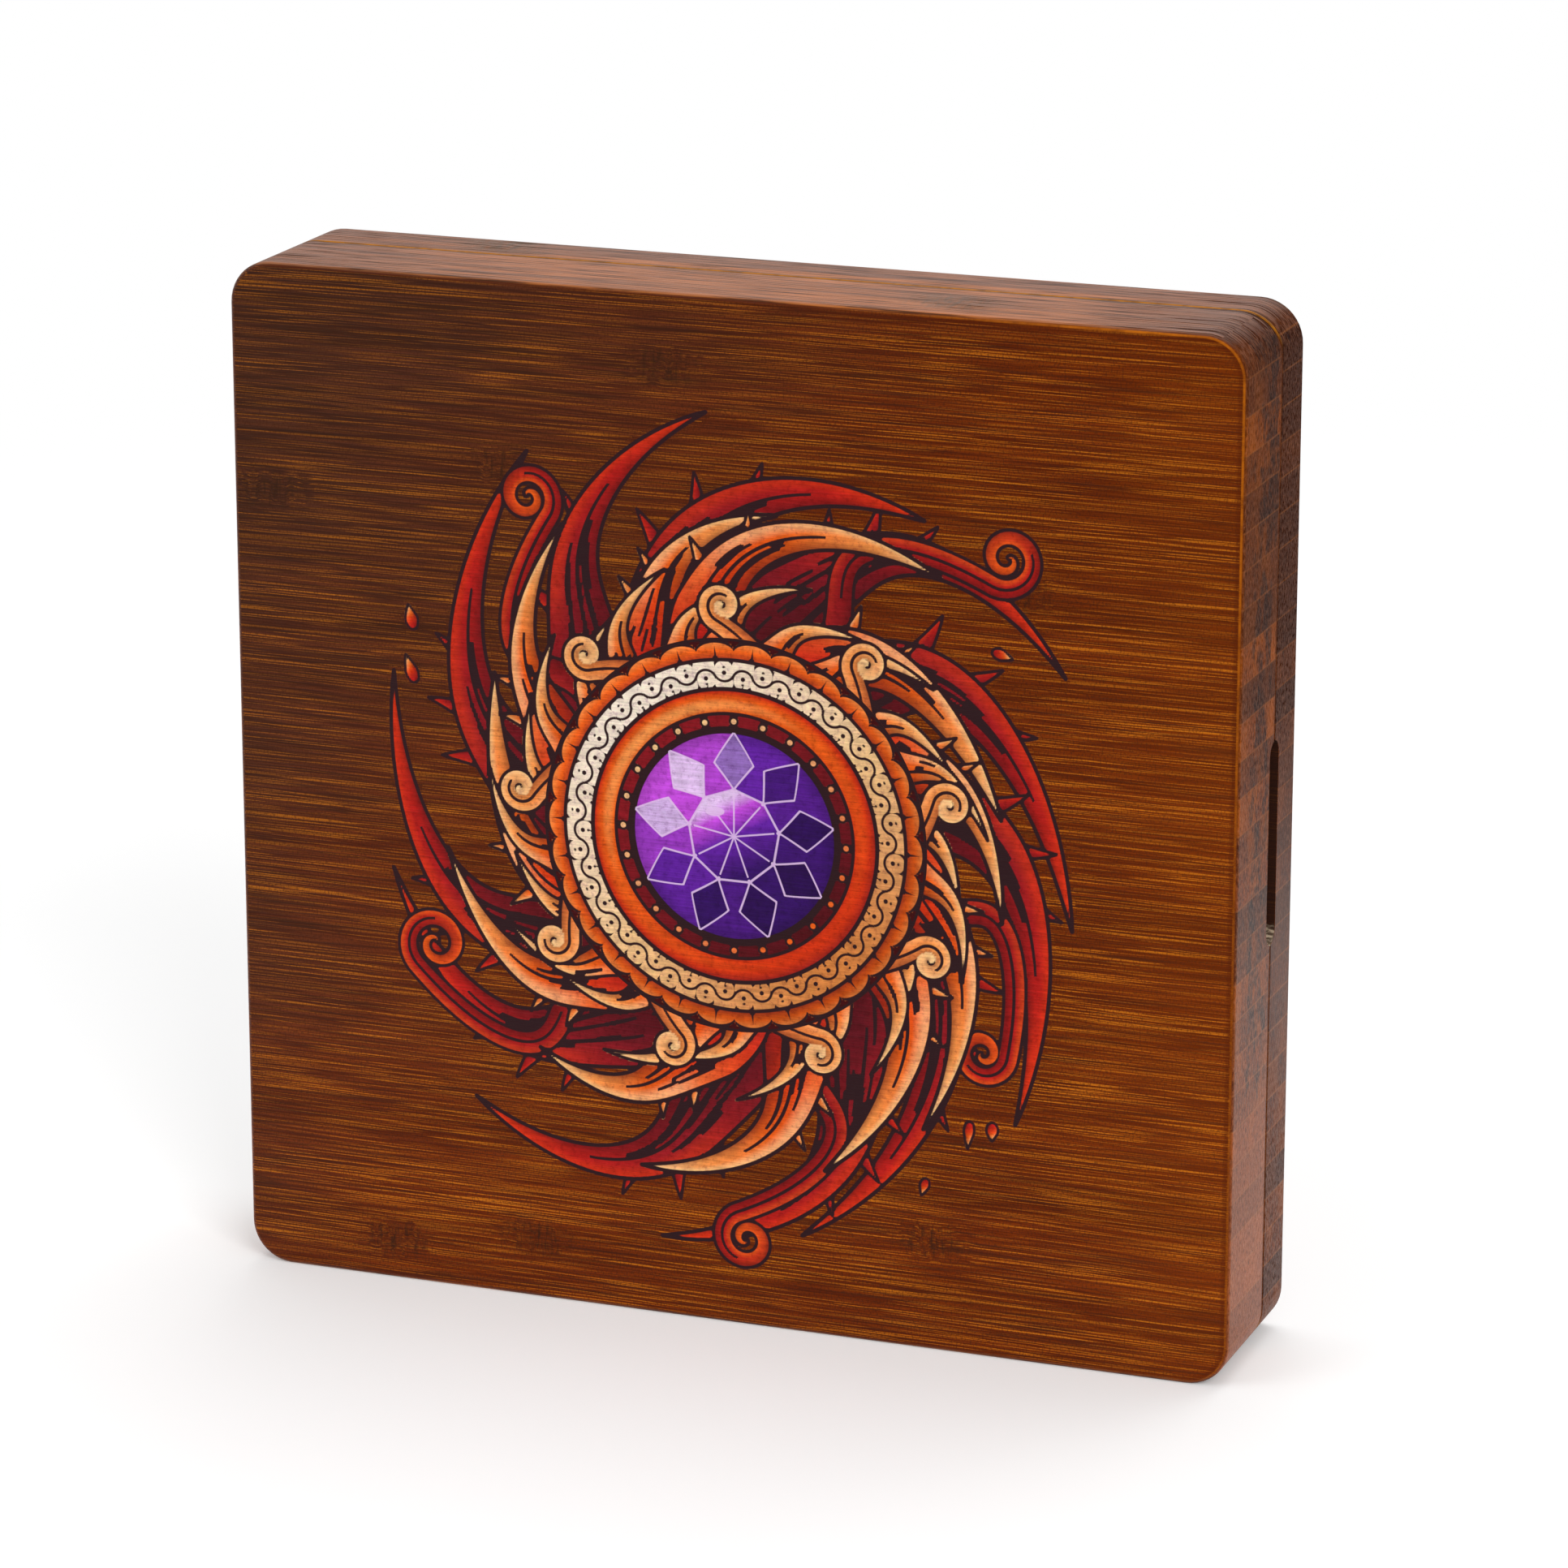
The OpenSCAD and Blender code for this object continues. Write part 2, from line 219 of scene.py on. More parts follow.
def bamboo(g, strip, shift, knots, top_knots):
    """The colour, the surface height and the reflection level of stained bamboo. Strips
    of that height are stacked along z, with a joint at the height of the shift, and
    fibres run along x. The knots are (x, z) on the faces and (x, y) on the top."""
    x, y, z = g.place()
    nx, _, nz = g.facing()
    end = g.step(nx, 0.45, 0.85)
    upper = g.step(nz, 0.5, 0.8)

    # The strips: a whole number each, a place across the strip, and a tone each
    course = (z - shift) / strip
    number = g.math("FLOOR", course)
    across = g.math("FRACT", course)
    tone = g.random(number)
    slide = g.random(number + 100.5) * 400.0

    # Knots: the old rings of the cane, where the fibres kink and darken
    kink = g.high(knot_window(g, x, z, knots, 11.0, 5.6),
                  upper * knot_window(g, x, y, top_knots, 15.0, 10.0))
    swirl = g.noise(x * 0.22, y * 0.05, z * 0.05, 1.0)
    curl = kink * (swirl - 0.5) * 2.2
    scar = g.noise(x * 0.95, y * 0.2, z * 0.2, 3.0, 0.6)

    # Long fibres: thin across, tens of millimetres along x, and nearly straight
    wander = (g.noise(x * 0.016, y * 0.08, z * 0.08) - 0.5) * 0.8
    fx = x + slide
    fy = y + (tone * 37.0 + curl)
    fz = z + (wander + curl)
    fine = g.noise(fx * 0.04, fy * 3.0, fz * 3.0, 3.0, 0.68)
    amber = g.noise(fx * 0.036, fy * 5.0, fz * 5.0 + 60.0, 2.0, 0.42)
    dark = g.noise(fx * 0.03, fy * 2.4, fz * 2.4 + 40.0)
    bundle = g.noise(fx * 0.016, fy * 0.34, fz * 0.42, 2.0, 0.6)
    smoke = g.noise(fx * 0.022, fy * 0.2, fz * 0.26, 4.0, 0.66)
    cloud = g.noise(x * 0.01, y * 0.04, z * 0.02)
    ticks = g.noise(x * 2.6, y * 1.6, z * 1.5, 2.0, 0.6)
    pores = g.noise(x * 0.55, y * 4.2, z * 4.2, 2.0, 0.6)

    # The faces' colour: darkest towards the upper left corner, and amber shows in streaks
    # and along the right edge
    thin = x * 0.0041 + (half_tall - z) * 0.0025
    thin = g.step(thin + (cloud - 0.5) * 0.55, -0.62, 0.06)
    deep = g.mix(thin, (0.034, 0.011, 0.007), (0.098, 0.012, 0.0013))
    warm = g.mix(thin, (0.088, 0.025, 0.011), (0.184, 0.0285, 0.002))
    gold = g.mix(thin, (0.43, 0.13, 0.012), (0.68, 0.194, 0.01))
    shore = g.step(x, 70.0, 106.0)
    streak = (g.step(amber + shore * 0.01, 0.55, 0.63)
              * g.step(bundle + thin * 0.05, 0.44, 0.61, 0.42, 1.0))
    body = g.coats(
        g.mix(g.step(fine, 0.4, 0.62), deep, warm),
        (g.step(dark, 0.54, 0.68) * 0.55, (0.03, 0.0095, 0.005)),
        (g.step(smoke - thin * 0.08, 0.49, 0.63, 0.0, 0.5), (0.026, 0.009, 0.0045)),
        (streak * (0.72 - kink * 0.5), gold),
        (g.step(ticks, 0.46, 0.64) * 0.55, (0.046, 0.01, 0.004)),
        (g.step(pores, 0.6, 0.72) * 0.3, (0.025, 0.009, 0.005)),
        (kink * g.step(scar, 0.46, 0.64, 0.12, 0.8), (0.026, 0.0095, 0.0045)),
        (shore * 0.12, (0.33, 0.064, 0.002)))

    # The top: brown in long bands, grey towards its ends and its back, with dark streaks
    band = g.noise(x * 0.012, fy * 0.33, 7.0)
    lane = g.noise(x * 0.045, fy * 1.5, 21.0, 3.0, 0.62)
    tips = g.high(g.step(x, -125.0, -40.0, 0.75, 0.0), g.step(x, 62.0, 112.0))
    crown = g.coats(
        g.mix(g.step(band, 0.36, 0.62), (0.24, 0.072, 0.018), (0.47, 0.135, 0.023)),
        (g.high(g.step(y, 8.0, 13.0, 0.0, 0.6), tips * 0.92), (0.088, 0.04, 0.029)),
        (g.step(lane, 0.47, 0.63, 0.0, 0.88), (0.035, 0.015, 0.0095)),
        (g.step(lane, 0.36, 0.46, 0.35, 0.0), (0.56, 0.2, 0.07)),
        (kink * g.step(scar, 0.36, 0.62, 0.25, 0.8), (0.085, 0.056, 0.034)))
    body = g.mix(upper * 0.88, body, crown)

    # Sawn ends: courses like bricks, upright speckles, and blue-black sap stains that
    # lie in the middle of the front half and along the seam. The back half is darker,
    # and its speckles are fainter lower down (hush).
    grit = g.noise(0.0, y * 1.35, z * 0.42, 4.0, 0.72)
    flame = g.noise(5.0, y * 0.1 + tone * 9.0, z * 0.045)
    sap = g.noise(3.0, y * 0.2 + tone * 2.0, z * 0.085, 4.0, 0.62)
    speck = g.noise(7.0, y * 0.95, z * 0.5, 3.0, 0.6)
    weave = g.noise(x * 0.2, y * 1.75, z * 0.8, 3.0, 0.7)
    belt = g.step(abs(y + 5.5), 3.5, 11.0, 0.085, -0.1)
    top_seam = g.step(z, 150.0, 196.0) * g.step(abs(y - 0.6), 1.0, 5.5, 0.16, 0.0)
    behind = g.step(y, front_mate_y, back_mate_y)
    low_front = g.step(z, 34.0, 74.0, 0.22, 0.0) * (1.0 - behind)
    stain = g.step(sap + (belt + top_seam) - low_front, 0.53, 0.63)
    stain = stain * g.step(speck, 0.36, 0.58, 0.38, 1.0)
    hush = g.step(behind * (2 * half_tall - z), 60.0, 170.0, 1.0, 0.45)
    ends = g.coats(
        g.mix(g.step(grit, 0.4, 0.58), (0.08, 0.017, 0.0055), (0.27, 0.061, 0.01)),
        (g.step(flame, 0.44, 0.64, 0.0, 0.8), (0.38, 0.09, 0.007)),
        (low_front * 3.4, (0.33, 0.083, 0.022)),
        (g.step(z, 110.0, 170.0, 0.0, 0.25), (0.42, 0.095, 0.004)),
        (g.step(tone, 0.15, 0.8, 0.75, 0.0) * (0.8 - low_front * 3.0), (0.06, 0.019, 0.01)),
        (behind * g.step(z, 20.0, 190.0, 0.45, 0.75), (0.048, 0.0175, 0.012)),
        (stain * 0.88, (0.02, 0.013, 0.013)),
        (g.step(speck, 0.62, 0.72, 0.0, 0.55), (0.024, 0.012, 0.009)),
        (hush * g.step(weave, 0.5, 0.64, 0.0, 0.52), (0.016, 0.007, 0.005)),
        (hush * g.step(weave, 0.36, 0.48, 0.4, 0.0), (0.42, 0.15, 0.06)),
        (g.step(abs(across - 0.5), 0.46, 0.49, 0.0, 0.4), (0.38, 0.13, 0.04)))

    color = g.mix(1.0, g.mix(end, body, ends), g.grey(0.9 + tone * 0.2), "MULTIPLY")
    height = (fine + amber * 0.5) * (1.0 - end) + grit * end
    gloss = g.step(lane, 0.38, 0.62, 0.36, -0.4) - (kink * 0.2 + tips * 0.2)
    gloss = 0.5 + upper * gloss + end * hush * g.step(weave, 0.36, 0.6, 0.14, -0.34)
    gloss = gloss - end * (behind * g.step(z, 40.0, 110.0, 0.34, 0.06)
                           + g.step(z, 90.0, 140.0, 0.0, 0.12))
    return color, height, gloss


def outline_depth(g, x, z):
    """How far inside the box's rounded outline the point lies: the distance to the
    nearest side, or near a corner to its quarter circle."""
    qx = abs(x) - (half_wide - corner_r)
    qz = abs(z - half_tall) - (half_tall - corner_r)
    corner = g.math("SQRT", g.high(qx, 0.0) ** 2.0 + g.high(qz, 0.0) ** 2.0)
    return corner_r - (corner + g.math("MINIMUM", g.high(qx, qz), 0.0))


def lacquered(g, color, height, gloss):
    """The finished material of stained wood or ink under satin lacquer."""
    return g.surface(color, 0.34 + height * 0.14, height, 0.14,
                     {"Specular IOR Level": gloss, "Specular Tint": (0.25, 0.1, 0.03, 1.0)})


def half_material(name, strip, shift, outer_y, mate_y, knots, top_knots):
    """Stained bamboo with the marks at a milled half's edges and slot, where some colour is
    painted highlight and painted shade.
    """
    g = new_material(name)
    color, height, gloss = bamboo(g, strip, shift, knots, top_knots)
    x, y, z = g.place()
    _, ny, nz = g.facing()
    ragged = g.noise(x * 0.2, y * 0.2, z * 0.2, 3.0, 0.6)

    # The rounded outer edge: dark red, turning amber towards the right and higher up, partly
    # stain worn thin there and partly a painted highlight where the edge catches the light
    to_face = abs(y - outer_y)
    inward = outline_depth(g, x, z) + to_face + ragged * 0.3
    rightward = g.step(x + ragged * 40.0, 40.0, 118.0)
    dim = g.step(inward, 1.5, 2.3, 0.55, 0.0) * g.step(ny, 0.4, 0.8) * rightward
    edge = (g.step(ny, 0.66, 0.84) * g.fall(ny, 0.93, 0.98) * g.fall(to_face, 1.2, 1.4)
            * (g.step(ragged, 0.3, 0.62, 0.25, 0.72) * g.step(z, 80.0, 215.0, 0.3, 1.0)))
    rim = g.mix(rightward, (0.085, 0.014, 0.0035), (0.64, 0.17, 0.006))

    # The seam: a thin amber line on top of a dark one. The dark band is painted shade along
    # the seam, and the amber line is a painted highlight on the eased edges that face up
    to_mate = abs(y - mate_y)
    seam_shade = g.fall(to_mate + ragged * 0.7, 0.7, 1.7)
    worn = (g.fall(to_mate, 0.6, 0.9) * g.step(nz, 0.15, 0.5)
            * g.step(y, seam_y - 0.05, seam_y + 0.05) * g.step(ragged, 0.35, 0.6, 0.4, 0.95))

    # The finger slot: dark inside, partly its darker stained wood and partly painted shade of
    # the recess, with bare wood at its lower end
    inside = (g.fall(abs(y - seam_y), slot_half_wide + 0.04, slot_half_wide + 0.2)
              * g.fall(abs(z - half_tall), slot_half_long + 0.2, slot_half_long + 0.4)
              * g.fall(x, half_wide - 0.12, half_wide - 0.02)
              * g.step(x, half_wide - 9.0, half_wide - 8.0))
    foot = half_tall - slot_half_long
    torn = g.noise(x * 0.5, y * 1.3, z * 1.3, 3.0, 0.7)
    bare = (inside * g.fall(z + torn * 3.0, foot + 2.9, foot + 5.1)
            * g.step(torn, 0.4, 0.6, 1.0, 0.15))

    color = g.coats(color,
                    (dim, (0.09, 0.012, 0.0015)),
                    # painted highlight on the round-over towards the right, over its dark red
                    (edge, rim),
                    # painted shade along the seam, darker on faces that look up
                    (seam_shade * g.step(nz, 0.3, 0.8, 0.3, 0.9), (0.026, 0.01, 0.005)),
                    # painted highlight along the seam's upper edges
                    (worn, (0.42, 0.15, 0.009)),
                    # painted shade in the slot, over its darker stained wood
                    (inside * 0.92, (0.028, 0.0125, 0.009)),
                    (bare, (0.6, 0.46, 0.32)))
    return lacquered(g, color, height, gloss * (1.0 - g.high(inside, worn) * 0.75))


def smooth_copy(node, name, body, material):
    """A merged copy of a CAD piece that stands for it, smooth but for its sharp edges."""
    work = bmesh.new()
    work.from_mesh(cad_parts[node].data)
    bmesh.ops.remove_doubles(work, verts=work.verts, dist=1e-6)
    for face in work.faces:
        face.smooth = True
    for edge in work.edges:
        sharp = len(edge.link_faces) != 2 or edge.calc_face_angle(0.0) > math.radians(25)
        edge.smooth = not sharp
    mesh = bpy.data.meshes.new(name)
    work.to_mesh(mesh)
    work.free()
    mesh.materials.append(material)
    made = add_object(name, mesh)
    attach(made, body)
    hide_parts(node)


front_knots = [(63, 164), (-101, 172), (-49, 181), (-43, 13.5), (25, 35), (46, 24), (-13, 205),
               (-76, 9)]
back_knots = [(-70, 150), (30, 188), (88, 96), (-20, 62), (-96, 40), (60, 22), (-5, 118)]
front_bamboo = half_material("front_bamboo", front_strip, front_shift, front_y, front_mate_y,
                             front_knots, [(44, -8)])
back_bamboo = half_material("back_bamboo", back_strip, back_shift, back_y, back_mate_y,
                            back_knots, [(-62, 14)])
smooth_copy("storage_shell", "front_half_wood", "front_half", front_bamboo)
smooth_copy("tray_shell", "back_half_wood", "back_half", back_bamboo)


# ---------------- the print on the front
# A round ornament printed straight onto the lacquered face in coloured inks: a cut stone
# in a banded ring, with tongues of fire turning round it. The wood's fibres show through.

print_x, print_z = 2.0, 107.0  # the ornament's middle


def linear(*rgb):
    """The linear colour of a screen colour from 0 to 255."""
    c = np.array(rgb, float) / 255
    return np.where(c <= 0.04045, c / 12.92, ((c + 0.055) / 1.055) ** 2.4)


night, maroon, wine = linear(36, 18, 32), linear(92, 16, 30), linear(138, 22, 34)
blood, rust, flame = linear(182, 28, 26), linear(214, 54, 20), linear(236, 96, 26)
apricot, cream, chalk = linear(248, 152, 78), linear(254, 206, 146), linear(255, 238, 218)
plum, violet, orchid, lilac = (linear(50, 16, 100), linear(104, 36, 170), linear(204, 80, 228),
                               linear(240, 206, 252))


def ramp(t, stops, inks):
    """The ink at each t, straight between the stops."""
    inks = np.array(inks)
    return np.stack([np.interp(t, stops, inks[:, i]) for i in range(3)], axis=-1)


def clamp(t):
    return np.clip(t, 0, 1)


class Drawing:
    """Flat inked shapes painted one over another, known at the points (u, v) in
    millimetres: the ink there, how far past the edge of a dark line the point lies,
    how far outside all ink, and how far past the edge of a pale line."""

    away = 9.0  # a distance past every line
    least_gap = 0.45  # dark lines closer than this run together
    least_vein = 0.29  # thinner parts of a vein are left out

    def __init__(self, u, v):
        self.at = np.c_[u, v]
        self.ink = np.tile(night, (len(u), 1))
        self.line, self.bare, self.pale = np.full((3, len(u)), self.away)

    def lay(self, near, gap, ink, pen=0.36):
        """A shape of signed distance gap at the points near, with its outline."""
        inside = gap < 0.12
        self.ink[near[inside]] = np.broadcast_to(ink, (len(near), 3))[inside]
        self.line[near[gap < 0]] = -gap[gap < 0] - pen
        self.draw(near[gap >= 0], gap[gap >= 0] - pen)
        self.bare[near] = np.minimum(self.bare[near], gap - pen)

    def draw(self, near, past):
        """A dark line, with the points near as far past its edge as past says."""
        old = self.line[near]
        both = np.minimum(old, past)
        joined = np.minimum(both, -0.1)
        self.line[near] = np.where(old + past < self.least_gap, joined, both)

    def ribbon(self, path, width):
        """The points near a path, with their signed distance from a ribbon of that
        half width, their place along it from 0 to 1 and across it from -1 to 1."""
        reach = width.max() + 1.6
        low, high = path.min(0) - reach, path.max(0) + reach
        near = np.nonzero(((self.at > low) & (self.at < high)).all(1))[0]
        step = np.diff(path, axis=0)
        span = np.maximum((step ** 2).sum(1), 1e-9)
        off = self.at[near][:, None] - path[None, :-1]
        t = clamp((off * step).sum(2) / span)
        wide = width[:-1] + t * np.diff(width)
        away = np.hypot(*np.moveaxis(off - t[..., None] * step, 2, 0)) - wide
        k = away.argmin(1)
        row = np.arange(len(near))
        turn = step[k, 0] * off[row, k, 1] - step[k, 1] * off[row, k, 0]
        along = (k + t[row, k]) / len(step)
        across = np.sign(turn) * (away[row, k] + wide[row, k]) / np.maximum(wide[row, k], 0.2)
        return near, away[row, k], along, across

    def blade(self, path, width, fire, pen=0.36, veins=(), lit=0.35):
        """A tapered tongue: its ink goes along it by the ramp fire and is lit from one
        side, and each dark vein runs inside it at a place across, between two places
        along, at most as thick as its weight."""
        near, gap, along, across = self.ribbon(path, width)
        shade = ramp(along, *fire) * (1 + lit * np.clip(across, -1, 1))[:, None]
        shadow = clamp((-0.25 - across) / 0.6)[:, None] * 0.45
        shade = shade * (1 - shadow) + maroon * shadow
        rim = (0.6 * clamp((across - 0.2) / 0.5) * clamp(along * 1.6))[:, None]
        shade = shade * (1 - rim) + ramp(np.minimum(along + 0.45, 1.0), *fire) * rim
        self.lay(near, gap, clamp(shade), pen)
        size = np.interp(along, np.linspace(0, 1, len(width)), width)
        for place, start, stop, weight in veins:
            inside = (gap < 0) & (along > start) & (along < stop)
            thick = weight * np.sqrt(np.sin(np.pi * clamp((along - start) / (stop - start))))
            inside &= thick > self.least_vein
            vein = np.abs(across - place * (1 - 0.5 * along)) * size - thick
            self.draw(near[inside], vein[inside])


def swirl(start, stop, turn, lean, wave, phase, tall=1.12, wide=0.94, count=70):
    """A path outward from the hub: its radius grows evenly from start to stop, and its
    angle, from straight up, turns by lean and sways by wave."""
    t = np.linspace(0, 1, count)
    radius = start + (stop - start) * t
    angle = turn + lean * t ** 1.25 + wave * np.sin(2 * np.pi * t * 0.95 + phase) * t
    return np.c_[radius * np.sin(angle) * wide, radius * np.cos(angle) * tall]


def hook(path, radius, turns, hand, count=46):
    """The path, then a spiral of that radius that winds in from its end."""
    last = path[-1] - path[-2]
    last = last / np.hypot(*last)
    normal = np.array([-last[1], last[0]]) * hand
    middle = path[-1] + normal * radius
    t = np.linspace(0, 1, count)[1:]
    angle = hand * turns * 2 * np.pi * t
    arm = -normal * radius
    size = (1 - t) ** 0.85 * 0.92 + 0.08
    curl = np.c_[arm[0] * np.cos(angle) - arm[1] * np.sin(angle),
                 arm[0] * np.sin(angle) + arm[1] * np.cos(angle)] * size[:, None]
    return np.concatenate([path, middle + curl])


def taper(count, wide, start=0.55, peak=0.3, power=0.85):
    """Half widths along a tongue: start at the root, fullest at peak, nothing at the tip."""
    t = np.linspace(0, 1, count)
    rise = start + (1 - start) * np.sin(np.pi / 2 * clamp(t / peak))
    fall = clamp((1 - t) / (1 - peak)) ** power
    return wide * rise * fall + 0.05


def hatching(rng, count):
    """Short veins at random places across a tongue, most of them near its root."""
    start = 0.05 + 0.45 * rng.random(count)
    across = -0.9 + 1.65 * rng.random(count)
    return [(place, a, a + 0.12 + 0.22 * b, 0.32 + 0.16 * c)
            for place, a, b, c in zip(across, start, rng.random(count), rng.random(count))]


def draw_tongues(art, rng, fire, shift, tip, lean, wave, wide, barbs, veins, hatches):
    """Tongues round the hub, whose turn, length, lean and width vary a little at random.
    The barbs are thorns on their outer sides, at points of the spine and each of its own
    size: a thorn runs ahead evenly and aside by the power 1.5."""
    count = 11
    places, ahead, aside, thick, barb_veins = barbs
    t = np.linspace(0, 1, 26)[:, None]
    for i in range(count):
        turn = 2 * np.pi * (i + shift[0] + shift[1] * rng.standard_normal()) / count
        spine = swirl(30, tip + 9 * rng.random(), turn, lean + 0.2 * rng.random(), wave,
                      rng.random() * 2)
        for at, size in places:
            out = spine[at + 4] - spine[at]
            out = out / np.hypot(*out)
            side = np.array([-out[1], out[0]])
            barb = spine[at] + out * ahead * size * t + side * (aside * size * t ** 1.5)
            art.blade(barb, taper(26, thick * size, 0.9, 0.2), fire, 0.34, barb_veins)
        art.blade(spine, taper(70, wide[0] + wide[1] * rng.random()), fire, 0.42,
                  [*veins, *hatching(rng, hatches)])


def draw_curl(art, path, radius, turns, hand, widths, fire, vein, lit=0.35):
    """A tendril or a scroll with one vein: a path that ends in a spiral, with half
    widths given at places along it."""
    lane = hook(path, radius, turns, hand)
    width = np.interp(np.linspace(0, 1, len(lane)), *widths)
    art.blade(lane, width, fire, 0.36, [vein], lit)


def draw_flames(art):
    """The turning fire: each tongue's outline is a taper swept along a swirl, and the
    nearer ones are painted over the farther ones."""
    rng = np.random.default_rng(7)
    dark_fire = ([0, 0.3, 0.6, 0.85, 1], [maroon * 0.5, maroon, wine, blood, rust])
    red_fire = ([0, 0.2, 0.45, 0.7, 0.88, 1], [wine, blood, rust, flame, apricot, cream])
    gold_fire = ([0, 0.3, 0.5, 0.75, 1], [blood, rust, flame, apricot, cream])
    tendril_fire = ([0, 0.6, 1], [maroon, blood, flame])
    scroll_fire = ([0, 0.4, 1], [rust, apricot, cream])

    # A dark ring under the roots of the tongues
    r = np.hypot(*art.at.T)
    art.lay(np.arange(len(r)), np.abs(r - 38) - 5.5, maroon * 0.45)

    # Long dark tongues at the back
    draw_tongues(art, rng, dark_fire, (0.0, 0.15), 76, 0.95, 0.16, (8.4, 1.2),
                 (((26, 0.62), (38, 0.5), (48, 0.36)), 23, 19, 5.6, [(0.0, 0.1, 0.8, 0.38)]),
                 [(-0.55, 0.15, 0.8, 0.6), (-0.15, 0.25, 0.92, 0.45), (0.35, 0.2, 0.7, 0.45)], 12)

    # Thin tendrils that curl up at their ends
    for turn, tip, hand, size in ((0.42, 86, 1, 6.5), (1.75, 79, -1, 5.5), (2.75, 84, 1, 6.0),
                                  (3.9, 88, -1, 7.0), (5.3, 80, 1, 6.0)):
        path = swirl(34, tip, turn, 0.25, 0.22, 1.0, 0.98, 0.9, count=50)
        draw_curl(art, path, size, 1.45, hand, ([0, 0.5, 0.9, 1], [3.4, 2.3, 1.0, 0.4]),
                  tendril_fire, (-0.1, 0.1, 0.8, 0.36))

    # Middle tongues, red to gold
    draw_tongues(art, rng, red_fire, (0.5, 0.12), 62, 0.78, 0.14, (7.0, 1.0),
                 (((24, 0.56), (38, 0.42)), 19, 17, 5.2, ()),
                 [(-0.5, 0.12, 0.75, 0.55), (-0.05, 0.25, 0.9, 0.4), (0.42, 0.25, 0.65, 0.38)], 9)

    # Short bright tongues close to the ring, long and short by turns
    short = 22
    for i in range(short):
        turn = 2 * np.pi * (i + 0.25 + 0.1 * rng.standard_normal()) / short
        tip = 49 + 5 * (i % 2) + 2 * rng.random()
        spine = swirl(31, tip, turn, 0.5, 0.1, 0.6, 1.04, 1.0, count=40)
        art.blade(spine, taper(40, 4.0), gold_fire, 0.36,
                  [(-0.3, 0.3, 0.85, 0.38), *hatching(rng, 3)])

    # Pale scrolls that roll over the tongues
    scrolls = 9
    for i in range(scrolls):
        turn = 2 * np.pi * (i + 0.35) / scrolls
        path = swirl(33, 45, turn, -0.34, 0.0, 0.0, 1.02, 1.0, count=24)
        draw_curl(art, path, 3.6, 1.35, -1, ([0, 0.3, 0.85, 1], [3.4, 2.3, 1.25, 0.8]),
                  scroll_fire, (-0.15, 0.05, 0.75, 0.36), 0.15)

    # Embers, left out where they would touch the fire
    for _ in range(44):
        turn, out = rng.random() * 2 * np.pi, 66 + 24 * rng.random()
        heart = np.array([out * np.sin(turn) * 0.88, out * np.cos(turn) * 1.02])
        if art.bare[np.hypot(*(art.at - heart).T).argmin()] < 3:
            continue
        tail = np.array([np.sin(turn + 0.9), np.cos(turn + 0.9)]) * (2.6 + 2.6 * rng.random())
        art.blade(heart + tail * np.linspace(0, 1, 12)[:, None],
                  taper(12, 0.95 + 0.5 * rng.random(), 0.8, 0.25), gold_fire, 0.3)


